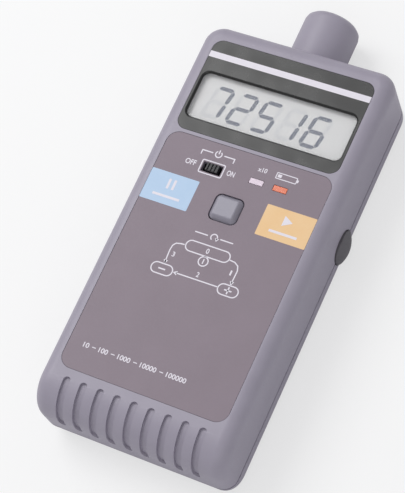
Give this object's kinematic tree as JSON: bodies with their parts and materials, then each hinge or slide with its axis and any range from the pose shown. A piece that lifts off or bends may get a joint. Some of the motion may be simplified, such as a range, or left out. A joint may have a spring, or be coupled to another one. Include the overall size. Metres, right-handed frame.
{
  "type": "digital tachometer",
  "caption": "Hand-held digital photo tachometer with a D-ended moulded case, display panel, slide switch, push buttons, sensor barrel and sliding battery door.",
  "frame": {"origin": "centre of the flat back, midway between the case's two ends", "axes": "+Z out of the display face, +Y along the case towards the sensor barrel, +X to the right when the face is read with the barrel up"},
  "size_m": [0.0766, 0.17, 0.0301],
  "materials": {
    "case_plastic": "fine moulded texture, satin",
    "label_print": "printed film, satin",
    "panel_black": "gloss",
    "clear_plastic": "clear gloss",
    "display_glass": "satin polariser",
    "inner_plastic": "moulded",
    "contact_rubber": "matt",
    "board_green": "solder mask",
    "black_plastic": "moulded",
    "bright_metal": "plated",
    "capacitor_sleeve": "shrunk sleeve",
    "button_plastic": "moulded, satin",
    "side_button_plastic": "moulded, satin",
    "pale_lamp": "tinted resin",
    "orange_lamp": "tinted resin",
    "red_filter_glass": "clear gloss",
    "lens_glass": "polished",
    "clear_resin": "cast resin",
    "dark_resin": "cast resin",
    "cell_jacket": "printed film on steel",
    "door_plastic": "fine moulded texture, satin"
  },
  "bodies": {
    "case": {"front_case": "case_plastic", "rear_case": "case_plastic", "face_label": "label_print", "display_bezel": "panel_black", "display_window": "clear_plastic", "lcd_glass": "display_glass", "lcd_frame": "inner_plastic", "lcd_contact_strips": "contact_rubber", "main_board": "board_green", "counter_chip": "black_plastic", "crystal": "bright_metal", "capacitors": "capacitor_sleeve", "power_switch_body": "bright_metal", "recall_switch": "black_plastic", "start_switch": "black_plastic", "hold_switch": "black_plastic", "range_led": "pale_lamp", "low_battery_led": "orange_lamp", "sensor_barrel": "case_plastic", "lens_ring": "black_plastic", "red_filter": "red_filter_glass", "focus_lens": "lens_glass", "optic_holder": "black_plastic", "light_source": "clear_resin", "photo_sensor": "dark_resin", "sensor_board": "board_green", "case_screws": "bright_metal", "board_screws": "bright_metal", "battery_cell_1": "cell_jacket", "contact_plate_1": "bright_metal", "contact_spring_1": "bright_metal", "battery_cell_2": "cell_jacket", "contact_plate_2": "bright_metal", "contact_spring_2": "bright_metal", "battery_cell_3": "cell_jacket", "contact_plate_3": "bright_metal", "contact_spring_3": "bright_metal", "battery_cell_4": "cell_jacket", "contact_plate_4": "bright_metal", "contact_spring_4": "bright_metal"},
    "power_knob": {"power_switch_knob": "black_plastic"},
    "recall": {"recall_button": "button_plastic", "recall_plunger": "black_plastic"},
    "start": {"start_button": "side_button_plastic", "start_plunger": "black_plastic"},
    "hold": {"hold_button": "side_button_plastic", "hold_plunger": "black_plastic"},
    "door": {"battery_door": "door_plastic"}
  },
  "joints": [
    {"name": "power_slide", "type": "slide", "parent": "case", "child": "power_knob", "axis": [1, 0, 0], "range_m": [-0.0015, 0]},
    {"name": "recall_push", "type": "slide", "parent": "case", "child": "recall", "axis": [0, 0, -1], "range_m": [0, 0.001], "stiffness_N_per_m": 400},
    {"name": "start_push", "type": "slide", "parent": "case", "child": "start", "axis": [-1, 0, 0], "range_m": [0, 0.0012], "stiffness_N_per_m": 400},
    {"name": "hold_push", "type": "slide", "parent": "case", "child": "hold", "axis": [1, 0, 0], "range_m": [0, 0.0012], "stiffness_N_per_m": 400},
    {"name": "door_slide", "type": "slide", "parent": "case", "child": "door", "axis": [0, -1, 0], "range_m": [0, 0.064]}
  ]
}
